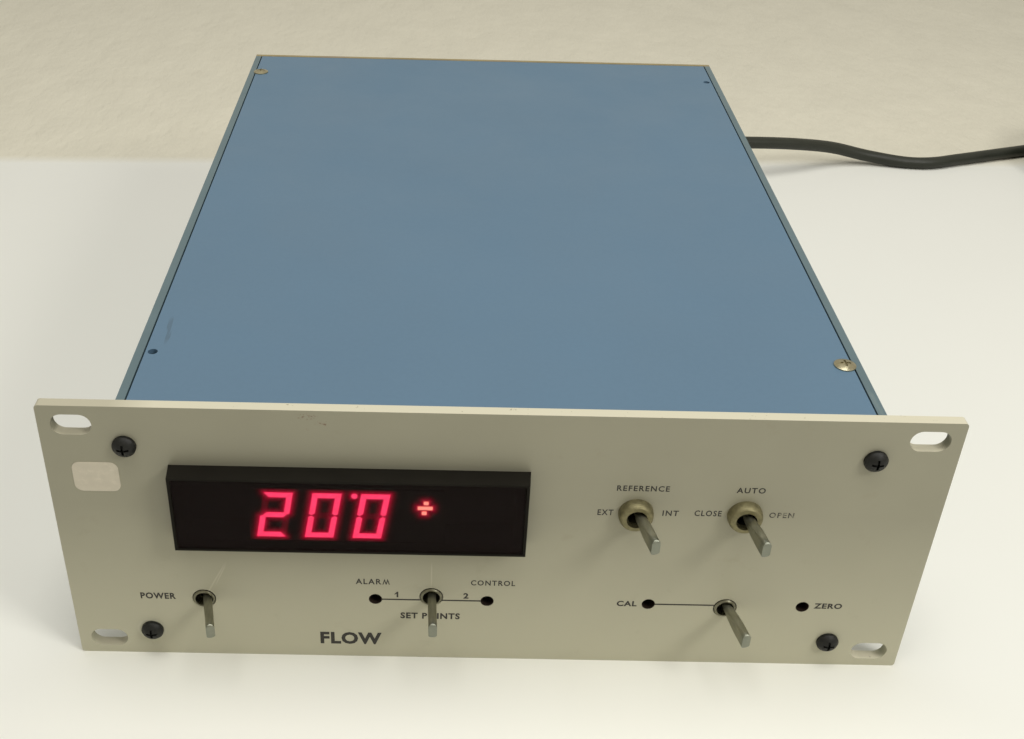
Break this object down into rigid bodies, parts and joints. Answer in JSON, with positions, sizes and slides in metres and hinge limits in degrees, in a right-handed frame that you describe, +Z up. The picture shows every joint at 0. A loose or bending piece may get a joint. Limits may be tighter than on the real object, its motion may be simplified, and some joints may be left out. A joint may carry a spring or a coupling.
{
  "type": "flow controller",
  "caption": "Half-rack gas flow controller: digital display, toggle switches and trimmers on a slotted rack panel, long blue-grey metal case, mains cord with plug.",
  "frame": {"origin": "centre of the front panel's outer face, which is the centre of its four rack slots", "axes": "X to the right as seen from the front, Y from the front panel to the back of the case, Z up"},
  "size_m": [0.5112, 0.4172, 0.0889],
  "materials": {
    "panel_paint": "satin, slightly aged grey-beige enamel",
    "case_paint": "satin, grey-blue enamel",
    "rail_paint": "satin, grey-green enamel",
    "chromate": "matt, gold chromate",
    "black_screw": "black oxide, glossy",
    "plated_screw": "nickel plated, slightly yellowed",
    "steel": "zinc plated",
    "switch_metal": "satin nickel",
    "nut_metal": "satin nickel over brass, worn yellow",
    "brass": "bright",
    "bezel": "fine matt black",
    "filter": "clear dark red, glossy",
    "digit_body": "dark grey face",
    "segment": "glowing red",
    "board": "green glass epoxy",
    "switch_body": "moulded, red",
    "trimmer": "moulded, blue",
    "pins": "tinned",
    "lamination": "varnished",
    "winding": "tape over enamelled copper",
    "capacitor": "sleeved",
    "black_plastic": "moulded, black",
    "relay": "moulded, ivory",
    "shell": "tin plated",
    "fuse_metal": "bright",
    "cord": "matt black jacket",
    "plug": "moulded, black"
  },
  "bodies": {
    "instrument": {"front_panel": "panel_paint", "panel_screws": "black_screw", "left_side_rail": "rail_paint", "right_side_rail": "rail_paint", "top_cover": "case_paint", "bottom_cover": "case_paint", "top_cover_screws": "plated_screw", "bottom_cover_screws": "plated_screw", "rear_panel": "chromate", "rear_panel_screws": "plated_screw", "meter_case": "bezel", "meter_filter": "filter", "meter_clips": "steel", "meter_display_board": "board", "meter_converter_board": "board", "digit_modules": "digit_body", "sign_module": "digit_body", "lit_segments": "segment", "main_board": "board", "power_bushing": "switch_metal", "power_switch_case": "switch_body", "setpoint_bushing": "switch_metal", "setpoint_switch_case": "switch_body", "reference_bushing": "switch_metal", "reference_switch_case": "switch_body", "valve_bushing": "switch_metal", "valve_switch_case": "switch_body", "cal_bushing": "switch_metal", "cal_switch_case": "switch_body", "dress_nuts": "nut_metal", "lock_nuts": "steel", "switch_terminals": "pins", "trimmer_bodies": "trimmer", "transformer_core": "lamination", "transformer_winding": "winding", "transformer_frame": "steel", "filter_capacitors": "capacitor", "voltage_regulators": "black_plastic", "alarm_relays": "relay", "board_chips": "black_plastic", "terminal_strip": "black_plastic", "terminal_screws": "pins", "signal_connector": "shell", "fuse_holder": "black_plastic", "fuse": "fuse_metal", "strain_relief": "black_plastic", "power_cord": "cord", "cord_coil": "cord", "power_plug": "plug", "plug_blades": "brass"},
    "power_lever": {"power_lever": "switch_metal"},
    "setpoint_lever": {"setpoint_lever": "switch_metal"},
    "reference_lever": {"reference_lever": "switch_metal"},
    "valve_lever": {"valve_lever": "switch_metal"},
    "cal_lever": {"cal_lever": "switch_metal"},
    "alarm_trim_screw": {"alarm_trim_screw": "brass"},
    "control_trim_screw": {"control_trim_screw": "brass"},
    "cal_trim_screw": {"cal_trim_screw": "brass"},
    "zero_trim_screw": {"zero_trim_screw": "brass"},
    "fuse_cap": {"fuse_cap": "black_plastic"}
  },
  "joints": [
    {"name": "power_toggle", "type": "hinge", "parent": "instrument", "child": "power_lever", "pos_m": [-0.0827, 0.004, -0.0222], "axis": [0, 0, 1], "range_deg": [-26, 0]},
    {"name": "setpoint_toggle", "type": "hinge", "parent": "instrument", "child": "setpoint_lever", "pos_m": [-0.01765, 0.004, -0.02], "axis": [0, 0, 1], "range_deg": [-13.5, 9.5], "stiffness_Nm_per_rad": 0.002},
    {"name": "reference_toggle", "type": "hinge", "parent": "instrument", "child": "reference_lever", "pos_m": [0.0375, 0.003, 0.0126], "axis": [0, 0, 1], "range_deg": [-23, 0]},
    {"name": "valve_toggle", "type": "hinge", "parent": "instrument", "child": "valve_lever", "pos_m": [0.0672, 0.003, 0.0126], "axis": [0, 0, 1], "range_deg": [-19, 0]},
    {"name": "cal_toggle", "type": "hinge", "parent": "instrument", "child": "cal_lever", "pos_m": [0.0669, 0.004, -0.0222], "axis": [0, 0, 1], "range_deg": [-23, 0]},
    {"name": "alarm_adjust", "type": "hinge", "parent": "instrument", "child": "alarm_trim_screw", "pos_m": [-0.03365, 0.0045, -0.02125], "axis": [0, 1, 0], "continuous": true},
    {"name": "control_adjust", "type": "hinge", "parent": "instrument", "child": "control_trim_screw", "pos_m": [-0.00165, 0.0045, -0.02125], "axis": [0, 1, 0], "continuous": true},
    {"name": "cal_adjust", "type": "hinge", "parent": "instrument", "child": "cal_trim_screw", "pos_m": [0.0447, 0.0045, -0.02125], "axis": [0, 1, 0], "continuous": true},
    {"name": "zero_adjust", "type": "hinge", "parent": "instrument", "child": "zero_trim_screw", "pos_m": [0.0891, 0.0045, -0.02125], "axis": [0, 1, 0], "continuous": true},
    {"name": "fuse_cap_turn", "type": "hinge", "parent": "instrument", "child": "fuse_cap", "pos_m": [0.058, 0.277, -0.0191], "axis": [0, 1, 0], "range_deg": [0, 60]}
  ]
}
